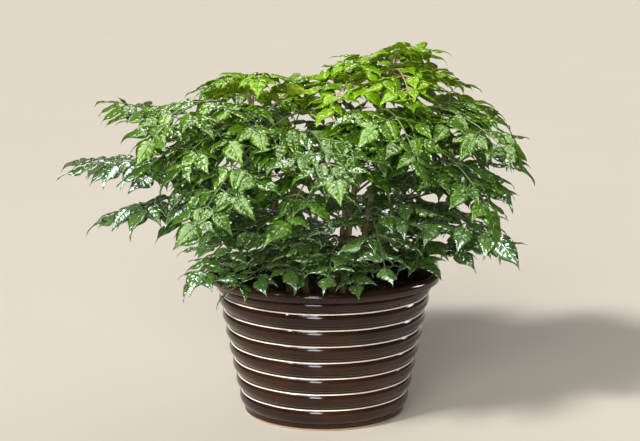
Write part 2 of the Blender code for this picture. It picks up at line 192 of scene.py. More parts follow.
# Each tier: height where fronds leave a stem, height that they arch towards, leaflet scale, slot, fronds
# Each frond: stem, azimuth, reach from the pot's axis, tip's height; every second of a tier sits higher
STAGGER = 0.020
TIERS = (
    (0.186, 0.236, 0.86, "leaf_old", (
        ("stem_left", 213, 0.206, 0.180),
        ("stem_front_left", 259, 0.158, 0.162),
        ("stem_front_right", 282, 0.188, 0.184),
        ("stem_right", 11, 0.256, 0.184),
        ("stem_back_right", 77, 0.290, 0.244),
        ("stem_back_left", 127, 0.238, 0.226),
    )),
    (0.226, 0.286, 1.00, "leaf_old", (
        ("stem_left", 163, 0.320, 0.224),
        ("stem_front_left", 238, 0.296, 0.192),
        ("stem_front_right", 270, 0.262, 0.206),
        ("stem_right", 325, 0.284, 0.216),
        ("stem_back_right", 34, 0.326, 0.258),
        ("stem_back_left", 112, 0.256, 0.280),
    )),
    (0.266, 0.338, 1.00, "leaf_old", (
        ("stem_left", 163, 0.368, 0.306),
        ("stem_front_left", 196, 0.338, 0.306),
        ("stem_front_right", 286, 0.268, 0.210),
        ("stem_right", 332, 0.262, 0.274),
        ("stem_back_right", 36, 0.278, 0.344),
        ("stem_back_left", 111, 0.318, 0.302),
    )),
    (0.308, 0.392, 0.96, "leaf_mid", (
        ("stem_left", 152, 0.358, 0.382),
        ("stem_front_left", 219, 0.296, 0.304),
        ("stem_front_right", 258, 0.266, 0.262),
        ("stem_right", 318, 0.282, 0.240),
        ("stem_back_right", 5, 0.248, 0.364),
        ("stem_back_left", 93, 0.260, 0.326),
    )),
    (0.350, 0.438, 0.80, "leaf_mid", (
        ("stem_front_left", 231, 0.290, 0.324),
        ("stem_front_right", 299, 0.236, 0.304),
        ("stem_right", 4, 0.242, 0.366),
        ("stem_back_right", 50, 0.242, 0.360),
        ("stem_back_left", 138, 0.244, 0.392),
        ("stem_left", 227, 0.308, 0.338),
    )),
    (0.390, 0.472, 0.66, "leaf_new", (
        ("stem_left", 156, 0.152, 0.372),
        ("stem_centre", 302, 0.198, 0.374),
        ("stem_left", 239, 0.148, 0.424),
        ("stem_centre", 27, 0.232, 0.318),
        ("stem_centre", 269, 0.136, 0.386),
        ("stem_centre", 66, 0.140, 0.394),
    )),
    (0.420, 0.480, 0.56, "leaf_new", (
        ("stem_centre", 122, 0.011, 0.422),
        ("stem_centre", 26, 0.152, 0.404),
        ("stem_centre", 315, 0.132, 0.474),
    )),
    (0.342, 0.442, 0.80, "leaf_mid", (("stem_front_right", 294, 0.170, 0.330),)),
    (0.186, 0.226, 0.80, "leaf_old", (("stem_right", 359, 0.252, 0.214),)),
    (0.330, 0.430, 0.80, "leaf_mid", (("stem_back_right", 216, 0.052, 0.436),)),
    (0.360, 0.458, 0.70, "leaf_mid", (("stem_back_right", 244, 0.342, 0.278),)),
    (0.320, 0.428, 0.86, "leaf_mid", (("stem_back_left", 273, 0.320, 0.332),)),
    (0.370, 0.448, 0.70, "leaf_mid", (("stem_centre", 324, 0.294, 0.330),)),
    (0.256, 0.328, 0.96, "leaf_old", (("stem_front_right", 179, 0.308, 0.240),)),
    (0.226, 0.318, 0.96, "leaf_old", (("stem_right", 34, 0.318, 0.326),)),
    (0.206, 0.258, 0.86, "leaf_old", (("stem_right", 240, 0.250, 0.190),)),
    (0.370, 0.448, 0.70, "leaf_new", (("stem_left", 72, 0.110, 0.414),)),
)
AGES = {"leaf_old": 0.08, "leaf_mid": 0.45, "leaf_new": 0.88}

# Every draw comes from this seed
SEED = 11

# A frond: lengths are for leaflet scale 1, and places on the rachis are measured back from its tip
ARCH_PLACE = 0.46
ARC_SAMPLES = 24
SIDE_SAG = 1.7
SEAT_GAP = 0.0008
SEAT_SINK = 0.0030
LEAST_BARE = 0.018
FRAME_STEP = 0.002

# A short frond shrinks until its lower pinnae fit, or just its upper ones if that would be too much
LEAST_PETIOLE = 0.026
LEAST_SHRINK = 0.8
LOWER_PINNAE_BACK = 0.189
UPPER_PINNAE_BACK = 0.121

# The rachis, the ribs of its pinnae and the leaflets' stalks, with their shifts and turns
PARALLEL = 0.95
RACHIS_STOPS = 12
RACHIS_SIDES = 8
RACHIS_RADII = (0.0026, 0.0022, 0.0017)
RACHIS_TAPER = 0.0011
RACHIS_SLIMMING = (0.55, 0.45)
PINNA_TURN = 4
PINNA_SHIFT = 0.002
RIB_LENGTHS = (0.95, 1.05)
RIB_STEPS = 5
RIB_SIDES = 6
RIB_RADIUS = 0.00085
RIB_TAPER = (1.15, 0.5)
STALK_SIDES = 5
STALK_RADIUS = 0.00052
STALK_TAPER = (1.2, 1.0, 0.95, 0.5)
STALK_MIDDLE = 0.55
STALK_RISE = 0.0004
STALK_REACH = 0.10
PAIR_STALK = 0.0030
PAIR_SHIFT = 0.0016
SINGLE_STALK = 0.0045
SINGLE_SHIFT = 0.0015
END_STALK = 0.0052
TIP_STALK = 0.002

# How leaflets droop and turn, in degrees: on old and new fronds, and on fronds whose tip is low
DROOP_OLD = 15
DROOP_NEW = 0
DROOP_LOW = 6
LOW_TIP = 0.225
DROOP_SPREAD = 11
ROLL_SPREAD = 15
HEADING_SPREAD = 7

# Levelling: the share of straight up in the way that a leaflet faces
LEVELLING_OLD = 0.4
LEVELLING_NEW = 0.65

# Low fronds that head over the front of the lip
LIP_HEADING = -0.75
LEVELLING_LIP = 0.72
LIP_SHRINK = 0.88

# Sizes of leaflets, and of the one at the tip
LEAFLET_SHRINK = 0.52
LEAFLET_SIZES = (0.98, 1.16)
TIP_LENGTH = 0.043
LOW_TIP_LENGTH = 0.036

# Single leaflets: place, angle, length
SINGLES = ((0.054, 56, 0.033),)

# Pinnae: place, then angle, rib, pairs of leaflets (place, length), end leaflet, turn of the pairs
PINNAE = (
    (0.312, (72, 0.064, ((0.34, 0.034), (0.66, 0.034), (0.92, 0.031)), 0.037, 62)),
    (0.250, (70, 0.070, ((0.30, 0.035), (0.58, 0.036), (0.85, 0.033)), 0.039, 62)),
    (0.189, (66, 0.064, ((0.30, 0.036), (0.58, 0.036), (0.85, 0.032)), 0.040, 62)),
    (0.127, (63, 0.046, ((0.38, 0.034), (0.78, 0.031)), 0.037, 60)),
    (0.086, (58, 0.022, ((0.55, 0.029),), 0.033, 60)),
)

# Leaflet rows run from midrib to margin, every third along a side vein, the others over a swelling
# Each row: place on the midrib, place of the margin, half width as a share of the widest
LEAFLET_ROWS = (
    (0.015, -0.020, 0.38),
    (0.030, 0.050, 0.74),
    (0.060, 0.130, 0.93),
    (0.105, 0.220, 1.00),
    (0.170, 0.320, 0.99),
    (0.245, 0.420, 0.92),
    (0.325, 0.515, 0.79),
    (0.415, 0.605, 0.62),
    (0.515, 0.690, 0.43),
    (0.620, 0.770, 0.27),
    (0.735, 0.850, 0.14),
    (0.865, 0.925, 0.07),
)
ACROSS = (-1.0, -0.68, -0.34, 0.0, 0.34, 0.68, 1.0)
ROWS_PER_VEIN = 3
CREST = 0.8
RELIEF_WIDTH = 1.2
LEAFLET_HALF_WIDTH = 0.335
BLADE_HALF_THICKNESS = 0.00022
MIDRIB_DEPTH = 0.012
SWELL = 0.034
TAIL_FROM = 0.72
WAVES_ALONG = 11.0
WAVE_SHIFT = 1.3

# Limits of a leaflet's draws: width, cup, curl, arch, hanging tail, sideways bend, wavy margin, swelling
WIDTHS = (0.92, 1.08)
CUPS = (0.02, 0.40)
CURLS = (0.5, 1.5)
ARCHES = (0.06, 0.22)
TAILS = (0.4, 2.4)
BENDS = (-0.10, 0.10)
WAVES = (0.010, 0.032)
SWELLS = (0.7, 1.25)

# The tuft of young leaves round each bud
TUFT_LEAVES = 9
TUFT_SEED = SEED * 77
TUFT_TURN = 2.39996
TUFT_TURN_SHIFT = 0.3
TUFT_STEEPEST = 78
TUFT_SPREAD = 62
TUFT_STEEP_SHIFT = 8
TUFT_LENGTHS = (0.013, 0.012)
TUFT_LENGTH_SHIFT = 0.002
TUFT_STALKS = (0.004, 0.014)
TUFT_RADII = (0.0008, 0.0006, 0.0005, 0.0003)
TUFT_DROP = 0.004
TUFT_DROOP = (0.94, 0.34)

# Values that the leaf materials read at each vertex
VALUE_NAMES = ("leaf_row", "leaf_side", "leaf_tint", "leaf_under", "leaf_age")

# Leaf looks by age: deep and light green, veins, underside, tint of the reflections, index of refraction
LEAF_LOOKS = {
    "leaf_old": (
        (0.018, 0.052, 0.009), (0.140, 0.262, 0.046), (0.024, 0.062, 0.010), (0.11, 0.18, 0.05),
        (0.90, 1.0, 0.95), 2.15,
    ),
    "leaf_mid": (
        (0.011, 0.048, 0.002), (0.066, 0.168, 0.006), (0.020, 0.064, 0.003), (0.15, 0.26, 0.03),
        (0.88, 1.0, 0.54), 1.47,
    ),
    "leaf_new": (
        (0.080, 0.200, 0.003), (0.260, 0.470, 0.008), (0.160, 0.320, 0.008), (0.28, 0.42, 0.03),
        (0.85, 1.0, 0.25), 1.38,
    ),
}
TINT_SHARE = 0.7
MOTTLE_SHARE = 0.5
DEEP_SHARE = 0.1
MIDRIB_HALF_WIDTH = 0.11
SIDE_VEIN_FROM = 0.66
SIDE_VEIN_DEPTH = 0.55
VEIN_SHARE = 0.55
LEAF_ROUGHNESS = (0.065, 0.12)
LEAF_CLOUD = (90.0, 3.0)
LEAF_GRAIN = (900.0, 2.0)
LEAF_GRAIN_DEPTH = 0.02
LEAF_BUMP = (0.6, 0.0009)

# Greens that mix in low down and high up: from height, to height, share at the first, share at the second
# Low down this is painted light: the leaves are mixed towards one green that lifts the shaded lower crown
LOW_PAINTED_LIGHT_GREEN = (0.070, 0.158, 0.026)
LOW_PAINTED_LIGHT_BLEND = (0.22, 0.38, 0.75, 0.0)
HIGH_LEAF = (0.170, 0.340, 0.006)
HIGH_BLEND = (0.33, 0.42, 0.0, 0.42)

# Stalks by age, and grit
STALK_LOOKS = {
    "leaf_old": ("stalk_old", (0.024, 0.062, 0.008), (0.050, 0.086, 0.014)),
    "leaf_mid": ("stalk_mid", (0.050, 0.118, 0.010), (0.095, 0.145, 0.020)),
    "leaf_new": ("stalk_new", (0.260, 0.300, 0.080), (0.450, 0.270, 0.140)),
}
GRIT_LOOK = ("grit", (0.10, 0.07, 0.045), (0.30, 0.25, 0.18))
STALK_CLOUD = (70.0, 3.0)
STALK_GRAIN = (1500.0, 2.0)
STALK_ROUGHNESS = (0.5, 0.2)
STALK_BUMP = (0.25, 0.0002)

# Bark, which turns green between two heights, and soil
BARK_GRAIN = (260.0, 5.0, (1.0, 1.0, 0.25))
BARK_CLOUD = (45.0, 3.0)
BARK_ROUGHNESS = 0.68
BARK_BUMP = (0.7, 0.0008)
DARK_BARK = (0.120, 0.075, 0.038)
LIGHT_BARK = (0.30, 0.22, 0.12)
MOSS = (0.14, 0.13, 0.06)
YOUNG_BARK = (0.14, 0.21, 0.045)
YOUNG_HEIGHTS = (0.24, 0.42)
SOIL_GRAIN = (420.0, 6.0)
SOIL_CLOUD = (60.0, 3.0)
SOIL_ROUGHNESS = 0.92
SOIL_BUMP = (0.9, 0.0015)
DARK_SOIL = (0.010, 0.007, 0.005)
LIGHT_SOIL = (0.050, 0.034, 0.022)
BROWN_SOIL = (0.065, 0.043, 0.028)


def new_object(name, data):
    """An object in the scene."""
    obj = bpy.data.objects.new(name, data)
    bpy.context.scene.collection.objects.link(obj)
    return obj


def new_mesh(name, points, faces, materials, looks=None, smooth=True):
    """A mesh object in the scene, with the material of each face in looks."""
    mesh = bpy.data.meshes.new(name)
    mesh.from_pydata(points, [], faces)
    if looks is not None:
        mesh.polygons.foreach_set("material_index", looks)
    if smooth:
        mesh.polygons.foreach_set("use_smooth", [True] * len(faces))
    for material in materials:
        mesh.materials.append(material)
    mesh.update()
    return new_object(name, mesh)


def leaflet_template():
    """Row, place across and lower side flag of each vertex of a leaflet, and the closed shell's faces."""
    rows = len(LEAFLET_ROWS)
    wide = len(ACROSS)
    upper = [[1 + row * wide + place for place in range(wide)] for row in range(rows)]
    tip = 1 + rows * wide
    lower = []
    keys = [(-1, 0.0, 0.0)]
    keys += [(row, across, 0.0) for row in range(rows) for across in ACROSS]
    keys.append((rows, 0.0, 0.0))
    for row in range(rows):
        inner = [len(keys) + place for place in range(wide - 2)]
        keys += [(row, across, 1.0) for across in ACROSS[1:-1]]
        lower.append([upper[row][0]] + inner + [upper[row][-1]])
    faces = []
    for grid, flip in ((upper, False), (lower, True)):
        sheet = [(0, grid[0][place + 1], grid[0][place]) for place in range(wide - 1)]
        for first, second in zip(grid, grid[1:]):
            for place in range(wide - 1):
                sheet.append((first[place], first[place + 1], second[place + 1], second[place]))
        sheet += [(tip, grid[-1][place], grid[-1][place + 1]) for place in range(wide - 1)]
        faces += [face[::-1] if flip else face for face in sheet]
    return keys, faces


KEYS, LEAFLET_FACES = leaflet_template()


def template_arrays():
    """Unit leaflet, flat: along, across, share across, row number, relief and which side, as arrays."""
    values = []
    for row, share, lower in KEYS:
        number = 1.0 + 2.0 * row / ROWS_PER_VEIN
        if row in (-1, len(LEAFLET_ROWS)):
            values.append((float(row > 0), 0.0, share, number, 0.0, lower))
            continue
        middle, margin, width = LEAFLET_ROWS[row]
        crest = CREST if row % ROWS_PER_VEIN else -1.0
        relief = crest * min(1.0, width * RELIEF_WIDTH)
        along = middle + (margin - middle) * abs(share)
        values.append((along, share * width, share, number, relief, lower))
    return np.array(values).T


ALONG, ACROSS_OF, SHARE, ROW_NUMBER, RELIEF, LOWER = template_arrays()


class Shells:
    """Closed shells gathered into one mesh, with the values that leaf materials read at each vertex."""

    def __init__(self):
        self.points = []
        self.faces = []
        self.looks = []
        self.values = []
        self.count = 0

    def add(self, points, faces, look, values):
        """One more closed shell, all of one material."""
        self.points.append(np.asarray(points, float))
        self.faces += [tuple(corner + self.count for corner in face) for face in faces]
        self.looks += [look] * len(faces)
        self.values.append(values)
        self.count += len(points)

    def add_plain(self, points, faces, look, age=0.0):
        """A shell that isn't a leaflet, so only its age is set."""
        values = np.zeros((len(points), len(VALUE_NAMES)))
        values[:, -1] = age
        self.add([tuple(point) for point in points], faces, look, values)

    def leaflet(self, place, ahead, side, normal, length, draw, age):
        """One blade, cupped, quilted between its veins, arched, with its drip tip hanging."""
        half = LEAFLET_HALF_WIDTH * draw.uniform(*WIDTHS)
        cup = draw.uniform(*CUPS)
        curl = draw.uniform(*CURLS)
        arch = draw.uniform(*ARCHES)
        tail = draw.uniform(*TAILS)
        bend = draw.uniform(*BENDS)
        wave = draw.uniform(*WAVES)
        phase = draw.uniform(0.0, 2 * math.pi)
        swell = SWELL * draw.uniform(*SWELLS)
        x = ALONG
        y = ACROSS_OF * half
        z = cup * np.abs(y) - curl * y * y
        z = z + swell * RELIEF * np.sin(math.pi * np.minimum(1.0, np.abs(SHARE)))
        z = z + wave * SHARE ** 2 * np.sin(phase + WAVES_ALONG * x + WAVE_SHIFT * np.sign(SHARE))
        z = z - arch * x * x - tail * np.maximum(0.0, x - TAIL_FROM) ** 2
        y = y + bend * x * x
        body = 1.0 - SHARE ** 4
        body[0] = body[len(LEAFLET_ROWS) * len(ACROSS) + 1] = 0.0
        thick = BLADE_HALF_THICKNESS / length * body
        z = z + np.where(LOWER > 0.5, -thick, thick)
        z = z - np.where((LOWER > 0.5) & (np.abs(SHARE) < 0.01), MIDRIB_DEPTH * (1.0 - x), 0.0)
        world = np.outer(x, ahead) + np.outer(y, side) + np.outer(z, normal)
        points = np.asarray(place, float) + length * world
        same = np.ones(len(x))
        values = np.stack([ROW_NUMBER, SHARE, draw.random() * same, LOWER, age * same], axis=1)
        self.add(points, LEAFLET_FACES, 0, values)

    def tube(self, path, radii, sides, age, look=1):
        """A round stalk along a path, closed at both ends."""
        rings = []
        path = [Vector(point) for point in path]
        guide = Vector((0.0, 0.0, 1.0))
        for index, point in enumerate(path):
            way = (path[min(index + 1, len(path) - 1)] - path[max(index - 1, 0)]).normalized()
            if abs(way.dot(guide)) > PARALLEL:
                guide = Vector((1.0, 0.0, 0.0))
            across = way.cross(guide).normalized()
            up = across.cross(way)
            for step in range(sides):
                turn = 2 * math.pi * step / sides
                rings.append(point + (across * math.cos(turn) + up * math.sin(turn)) * radii[index])
        faces = []
        for ring in range(len(path) - 1):
            for step in range(sides):
                after = (step + 1) % sides
                low, high = ring * sides, (ring + 1) * sides
                faces.append((low + step, low + after, high + after, high + step))
        last = (len(path) - 1) * sides
        faces.append(tuple(range(sides))[::-1])
        faces.append(tuple(last + step for step in range(sides)))
        self.add_plain(rings, faces, look, age)

    def build(self, name, materials):
        """All the shells as one object, with their values as attributes of its vertices."""
        points = np.concatenate(self.points)
        obj = new_mesh(name, points.tolist(), self.faces, materials, self.looks)
        values = np.concatenate(self.values)
        for column, label in enumerate(VALUE_NAMES):
            attribute = obj.data.attributes.new(label, "FLOAT", "POINT")
            attribute.data.foreach_set("value", values[:, column].astype(np.float32))
        return obj


def stem_axis(name, height):
    """The middle of a stem at a height. It stands straight in the soil and leans out above it."""
    foot, top, top_height = STEMS[name]
    rise = max(0.0, height - LEAN_FROM) / (top_height - LEAN_FROM)
    share = rise ** STEM_CURVE
    return Vector((foot[0] + (top[0] - foot[0]) * share, foot[1] + (top[1] - foot[1]) * share, height))


def stem_radius(name, height):
    """A stem's radius at a height, even in the soil and tapering above it."""
    rise = max(0.0, height - LEAN_FROM) / (STEMS[name][2] - LEAN_FROM)
    return STEM_FOOT_RADIUS + (STEM_TOP_RADIUS - STEM_FOOT_RADIUS) * rise


class Frond:
    """One compound leaf: where it leaves its stem, how it arches, and the size of its leaflets."""

    def __init__(self, number, stem, azimuth, reach, tip_height, leave_height, arch_height, scale, age):
        self.name = f"frond_{number:02d}"
        self.age = age
        low = tip_height < LOW_TIP
        self.droop = DROOP_LOW if low else DROOP_OLD + (DROOP_NEW - DROOP_OLD) * age ** 2
        self.tip_length = LOW_TIP_LENGTH if low else TIP_LENGTH
        self.draw = random.Random(SEED * 1000 + number)
        axis = stem_axis(stem, leave_height)
        angle = math.radians(azimuth)
        tip = Vector((reach * math.cos(angle), reach * math.sin(angle), 0.0))
        way = Vector((tip.x - axis.x, tip.y - axis.y, 0.0))
        self.ahead = way.normalized()
        self.side = Vector((-self.ahead.y, self.ahead.x, 0.0))
        self.over_lip = low and self.ahead.y < LIP_HEADING
        seat = stem_radius(stem, leave_height) + SEAT_GAP
        self.base = axis + self.ahead * seat
        run = way.length - seat
        crown = (run * ARCH_PLACE, arch_height - leave_height)
        self.knots = ((0.0, 0.0), crown, (run, tip_height - leave_height))
        self.stations = self.measured()
        self.length = self.stations[-1]
        self.scale = self.fitted(scale)
        self.shells = Shells()

    def measured(self):
        """Distances along the arch, from the base to each of its samples."""
        places = [Vector(self.on_arch(sample / ARC_SAMPLES)[0]) for sample in range(ARC_SAMPLES + 1)]
        stations = [0.0]
        for before, here in zip(places, places[1:]):
            stations.append(stations[-1] + (here - before).length)
        return stations

    def fitted(self, scale):
        """The leaflet scale at which the pinnae that the frond keeps fit on it."""
        leafy = self.length - LEAST_PETIOLE
        keeps_lower = leafy / LOWER_PINNAE_BACK >= LEAST_SHRINK * scale
        longest = LOWER_PINNAE_BACK if keeps_lower else UPPER_PINNAE_BACK
        return min(scale, leafy / longest)

    def on_arch(self, share):
        """Place ahead and above the base, and direction, at a share of the arch."""
        (x0, z0), (x1, z1), (x2, z2) = self.knots
        back = 1 - share
        place = (
            back * back * x0 + 2 * back * share * x1 + share * share * x2,
            back * back * z0 + 2 * back * share * z1 + share * share * z2,
        )
        way = Vector((back * (x1 - x0) + share * (x2 - x1), back * (z1 - z0) + share * (z2 - z1)))
        return place, way.normalized()

    def share_at(self, distance):
        """The share of the arch at a distance measured along it."""
        for sample in range(ARC_SAMPLES):
            first, second = self.stations[sample], self.stations[sample + 1]
            if distance <= second or sample == ARC_SAMPLES - 1:
                return (sample + (distance - first) / (second - first)) / ARC_SAMPLES

    def arched(self, distance, aside):
        """The point at a distance along the frond and beside its rachis, sagging away from it."""
        place, way = self.on_arch(self.share_at(max(0.0, distance)))
        above = -SIDE_SAG * aside * aside / self.scale
        run = place[0] - way.y * above
        rise = place[1] + way.x * above
        return self.base + self.ahead * run + self.side * aside + Vector((0.0, 0.0, rise))

    def surface(self, distance, aside):
        """A point of the arched frond and the frame of the surface there."""
        here = self.arched(distance, aside)
        along = (self.arched(distance + FRAME_STEP, aside) - here).normalized()
        beside = self.arched(distance, aside + FRAME_STEP) - here
        normal = along.cross(beside).normalized()
        return here, along, normal.cross(along), normal

    def leaflet(self, distance, aside, heading, length, stalk):
        """A leaflet on its stalk, at a heading in the frond's surface, with its own droop and roll."""
        draw = self.draw
        heading += math.radians(draw.uniform(-HEADING_SPREAD, HEADING_SPREAD))
        length *= self.scale ** LEAFLET_SHRINK * draw.uniform(*LEAFLET_SIZES)
        level = LEVELLING_OLD + (LEVELLING_NEW - LEVELLING_OLD) * self.age ** 2
        if self.over_lip:
            length *= LIP_SHRINK
            level = LEVELLING_LIP
        droop = math.radians(draw.gauss(self.droop, DROOP_SPREAD))
        roll = math.radians(draw.gauss(0, ROLL_SPREAD))
        root, along, side, normal = self.surface(distance, aside)
        flat = along * math.cos(heading) + side * math.sin(heading)
        normal = (normal * (1 - level) + Vector((0.0, 0.0, level))).normalized()
        cross = normal.cross(flat).normalized()
        flat = cross.cross(normal)
        foot = root + flat * stalk
        ahead = flat * math.cos(droop) - normal * math.sin(droop)
        up = ahead.cross(cross).normalized()
        cross_rolled = cross * math.cos(roll) + up * math.sin(roll)
        up_rolled = up * math.cos(roll) - cross * math.sin(roll)
        middle = root + flat * (stalk * STALK_MIDDLE) + normal * STALK_RISE
        thin = STALK_RADIUS * self.scale ** 0.5
        path = [root, middle, foot, foot + ahead * (STALK_REACH * length)]
        self.shells.tube(path, [thin * share for share in STALK_TAPER], STALK_SIDES, self.age)
        self.shells.leaflet(foot, ahead, cross_rolled, up_rolled, length, draw, self.age)

    def pinna(self, start, side, sizes):
        """A side rib with pairs of leaflets and one at its end."""
        angle, rib, pairs, end_length, turn = sizes
        angle = math.radians(angle + self.draw.uniform(-PINNA_TURN, PINNA_TURN))
        rib *= self.scale * self.draw.uniform(*RIB_LENGTHS)
        start += self.draw.uniform(-PINNA_SHIFT, PINNA_SHIFT)

        def on_rib(way):
            return start + math.cos(angle) * way, side * math.sin(angle) * way

        path = [self.arched(*on_rib(rib * step / RIB_STEPS)) for step in range(RIB_STEPS + 1)]
        thick = RIB_RADIUS * self.scale ** 0.5
        full, loss = RIB_TAPER
        radii = [thick * (full - loss * step / RIB_STEPS) for step in range(RIB_STEPS + 1)]
        self.shells.tube(path, radii, RIB_SIDES, self.age)
        for place, length in pairs:
            for hand in (-1, 1):
                way = rib * place
                way += self.draw.uniform(-PAIR_SHIFT, PAIR_SHIFT)
                heading = side * angle + hand * math.radians(turn)
                self.leaflet(*on_rib(way), heading, length, PAIR_STALK * self.scale)
        self.leaflet(*on_rib(rib), side * angle, end_length, END_STALK * self.scale)

    def dress(self, materials):
        """The rachis, its pinnae and leaflets as one object."""
        end = self.length
        tip_start = end - self.tip_length * self.scale
        last = RACHIS_STOPS - 1
        path = [self.base - self.ahead * SEAT_SINK]
        path += [self.arched(tip_start * step / last, 0.0) for step in range(RACHIS_STOPS)]
        seat, first, second = RACHIS_RADII
        radii = [seat, first] + [second - RACHIS_TAPER * step / last for step in range(1, RACHIS_STOPS)]
        slim = RACHIS_SLIMMING[0] + RACHIS_SLIMMING[1] * self.scale
        self.shells.tube(path, [radius * slim for radius in radii], RACHIS_SIDES, self.age)
        for back, sizes in PINNAE:
            if end - back * self.scale < LEAST_BARE:
                continue
            for side in (-1, 1):
                self.pinna(end - back * self.scale, side, sizes)
        for back, angle, length in SINGLES:
            for side in (-1, 1):
                start = end - back * self.scale + self.draw.uniform(-SINGLE_SHIFT, SINGLE_SHIFT)
                self.leaflet(start, 0.0, side * math.radians(angle), length, SINGLE_STALK * self.scale)
        self.leaflet(tip_start, 0.0, 0.0, self.tip_length, TIP_STALK)
        return self.shells.build(self.name + "_leaf", materials)


# Materials

class Look:
    """One material, and the few kinds of node that every look here is made of."""

    def __init__(self, name):
        self.material = bpy.data.materials.new(name)
        self.material.use_nodes = True
        self.nodes = self.material.node_tree.nodes
        self.links = self.material.node_tree.links
        self.shader = self.nodes["Principled BSDF"]

    def feed(self, socket, value):
        """Links an output to a socket, or sets the socket to a number or a colour."""
        if isinstance(value, bpy.types.NodeSocket):
            self.links.new(value, socket)
        elif isinstance(value, tuple):
            socket.default_value = (*value, 1.0)
        else:
            socket.default_value = value

    def put(self, label, value):
        """Feeds one of the surface's own sockets."""
        self.feed(self.shader.inputs[label], value)

    def calc(self, operation, first, second=None):
        """A calculation with one or two numbers."""
        node = self.nodes.new("ShaderNodeMath")
        node.operation = operation
        self.feed(node.inputs[0], first)
        if second is not None:
            self.feed(node.inputs[1], second)
        return node.outputs[0]

    def plus(self, first, second):
        return self.calc("ADD", first, second)

    def less(self, first, second):
        return self.calc("SUBTRACT", first, second)

    def times(self, first, second):
        return self.calc("MULTIPLY", first, second)

    def ramp(self, value, low, high, to_low=0.0, to_high=1.0):
        """A smooth step from one number to another."""
        node = self.nodes.new("ShaderNodeMapRange")
        node.interpolation_type = "SMOOTHSTEP"
        self.feed(node.inputs["Value"], value)
        ends = {"From Min": low, "From Max": high, "To Min": to_low, "To Max": to_high}
        for label, number in ends.items():
            self.feed(node.inputs[label], number)
        return node.outputs["Result"]

    def blend(self, share, first, second):
        """A mix of two colours."""
        node = self.nodes.new("ShaderNodeMix")
        node.data_type = "RGBA"
        self.feed(node.inputs["Factor"], share)
        self.feed(node.inputs[6], first)
        self.feed(node.inputs[7], second)
        return node.outputs[2]

    def cloud(self, scale, detail, stretch=(1.0, 1.0, 1.0)):
        """A noise in the object's own coordinates."""
        place = self.nodes.new("ShaderNodeTexCoord")
        shift = self.nodes.new("ShaderNodeMapping")
        shift.inputs["Scale"].default_value = stretch
        self.links.new(place.outputs["Object"], shift.inputs["Vector"])
        node = self.nodes.new("ShaderNodeTexNoise")
        node.inputs["Scale"].default_value = scale
        node.inputs["Detail"].default_value = detail
        self.links.new(shift.outputs["Vector"], node.inputs["Vector"])
        return node.outputs["Fac"]

    def along(self, axis):
        """The object's own X, Y or Z."""
        place = self.nodes.new("ShaderNodeTexCoord")
        split = self.nodes.new("ShaderNodeSeparateXYZ")
        self.links.new(place.outputs["Object"], split.inputs["Vector"])
        return split.outputs[axis]

    def value(self, label):
        """One of the values kept at each vertex."""
        node = self.nodes.new("ShaderNodeAttribute")
        node.attribute_name = label
        return node.outputs["Fac"]

    def rough(self, share, limits):
        """Roughness that rises with a share."""
        least, rise = limits
        return self.plus(self.times(share, rise), least)

    def finish(self, colour, roughness, relief, bump_size):
        """Sets the surface's colour, roughness and bump, and returns the material."""
        self.put("Base Color", colour)
        self.put("Roughness", roughness)
        bump = self.nodes.new("ShaderNodeBump")
        for label, size in zip(("Strength", "Distance"), bump_size):
            self.feed(bump.inputs[label], size)
        self.links.new(relief, bump.inputs["Height"])
        self.links.new(bump.outputs["Normal"], self.shader.inputs["Normal"])
        return self.material


def leaf_material(name, deep, light, vein, under, gloss, index):
    """Two greens mixed by leaflet and by mottle, shifted by height with painted light low down, with veins
    and a paler underside.
    """
    look = Look(name)
    lateral = look.ramp(look.calc("PINGPONG", look.value("leaf_row"), 1.0), SIDE_VEIN_FROM, 1.0)
    middle = look.ramp(look.calc("ABSOLUTE", look.value("leaf_side")), 0.0, MIDRIB_HALF_WIDTH, 1.0, 0.0)
    veins = look.calc("MAXIMUM", look.times(lateral, SIDE_VEIN_DEPTH), middle)
    mottle = look.cloud(*LEAF_CLOUD)
    share = look.plus(look.times(look.value("leaf_tint"), TINT_SHARE), look.times(mottle, MOTTLE_SHARE))
    colour = look.blend(look.less(share, DEEP_SHARE), deep, light)
    height = look.along("Z")
    # Painted light: low down the green is mixed towards one that lifts the shaded lower crown
    colour = look.blend(look.ramp(height, *LOW_PAINTED_LIGHT_BLEND), colour, LOW_PAINTED_LIGHT_GREEN)
    colour = look.blend(look.ramp(height, *HIGH_BLEND), colour, HIGH_LEAF)
    colour = look.blend(look.times(veins, VEIN_SHARE), colour, vein)
    colour = look.blend(look.value("leaf_under"), colour, under)
    look.put("IOR", index)
    look.put("Specular Tint", gloss)
    relief = look.less(look.times(look.cloud(*LEAF_GRAIN), LEAF_GRAIN_DEPTH), veins)
    return look.finish(colour, look.rough(mottle, LEAF_ROUGHNESS), relief, LEAF_BUMP)


def stalk_material(name, base, blush):
    """A mottled mix of two colours, for stalks and grit."""
    look = Look(name)
    share = look.cloud(*STALK_CLOUD)
    colour = look.blend(look.ramp(share, 0.3, 0.7), base, blush)
    return look.finish(colour, look.rough(share, STALK_ROUGHNESS), look.cloud(*STALK_GRAIN), STALK_BUMP)


def bark_material():
    """Brown bark with long grain and mossy patches, green where the stem is young."""
    look = Look("bark")
    grain = look.cloud(*BARK_GRAIN)
    patches = look.ramp(look.cloud(*BARK_CLOUD), 0.45, 0.65)
    colour = look.blend(look.ramp(grain, 0.35, 0.65), DARK_BARK, LIGHT_BARK)
    colour = look.blend(patches, colour, MOSS)
    colour = look.blend(look.ramp(look.along("Z"), *YOUNG_HEIGHTS), colour, YOUNG_BARK)
    return look.finish(colour, BARK_ROUGHNESS, grain, BARK_BUMP)


